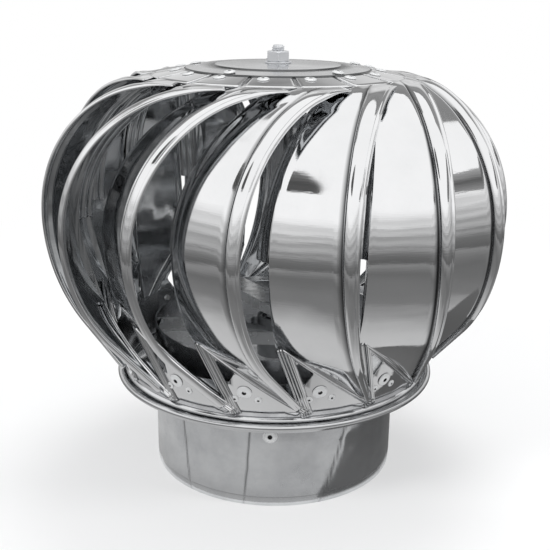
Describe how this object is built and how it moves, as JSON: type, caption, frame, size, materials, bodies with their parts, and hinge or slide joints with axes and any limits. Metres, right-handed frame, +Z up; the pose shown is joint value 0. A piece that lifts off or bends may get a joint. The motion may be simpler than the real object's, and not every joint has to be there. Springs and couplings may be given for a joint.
{
  "type": "rotating chimney cowl",
  "caption": "Wind-driven chimney cowl: rolled steel blades form a ball that spins on ball bearings above a round flue collar with a beaded flange.",
  "frame": {"origin": "on the spin axis, at the bottom edge of the flue collar", "axes": "+Z up the spin axis; -Y is the side seen in front"},
  "size_m": [0.371, 0.3713, 0.345],
  "materials": {
    "blade": "mirror-polished stainless sheet",
    "sheet": "bright stainless sheet",
    "rivet": "plain stainless",
    "zinc": "plain bright steel",
    "bearing": "ground",
    "inner_steel": "dull steel"
  },
  "bodies": {
    "base": {"flue_collar": "sheet", "neck_sleeve": "sheet", "flange_ring": "sheet", "collar_washers": "rivet", "collar_rivets": "rivet", "flange_rivets": "rivet", "bearing_bridge": "inner_steel", "bridge_rivets": "rivet", "bearing_housing": "inner_steel", "housing_bolts": "zinc", "housing_nuts": "zinc", "lower_outer_race": "bearing", "upper_outer_race": "bearing", "lower_bearing_balls": "bearing", "upper_bearing_balls": "bearing"},
    "rotor": {"axle": "inner_steel", "rotor_crossbar": "inner_steel", "crossbar_rivets": "rivet", "rotor_skirt": "sheet", "foot_rivets": "rivet", "small_foot_rivets": "rivet", "crown_ring": "sheet", "crown_rivets": "rivet", "cap_disc": "sheet", "cap_rivets": "rivet", "top_washer": "rivet", "lower_inner_race": "bearing", "upper_inner_race": "bearing", "bearing_spacer": "inner_steel", "crossbar_spacer": "inner_steel", "top_nut": "zinc", "cap_lock_nut": "zinc", "crossbar_nut": "zinc", "axle_foot_nut": "zinc", "blade_01": "blade", "blade_02": "blade", "blade_03": "blade", "blade_04": "blade", "blade_05": "blade", "blade_06": "blade", "blade_07": "blade", "blade_08": "blade", "blade_09": "blade", "blade_10": "blade", "blade_11": "blade", "blade_12": "blade", "blade_13": "blade", "blade_14": "blade", "blade_15": "blade"}
  },
  "joints": [
    {"name": "rotor_spin", "type": "hinge", "parent": "base", "child": "rotor", "pos_m": [0, 0, 0.119], "axis": [0, 0, 1], "continuous": true}
  ]
}
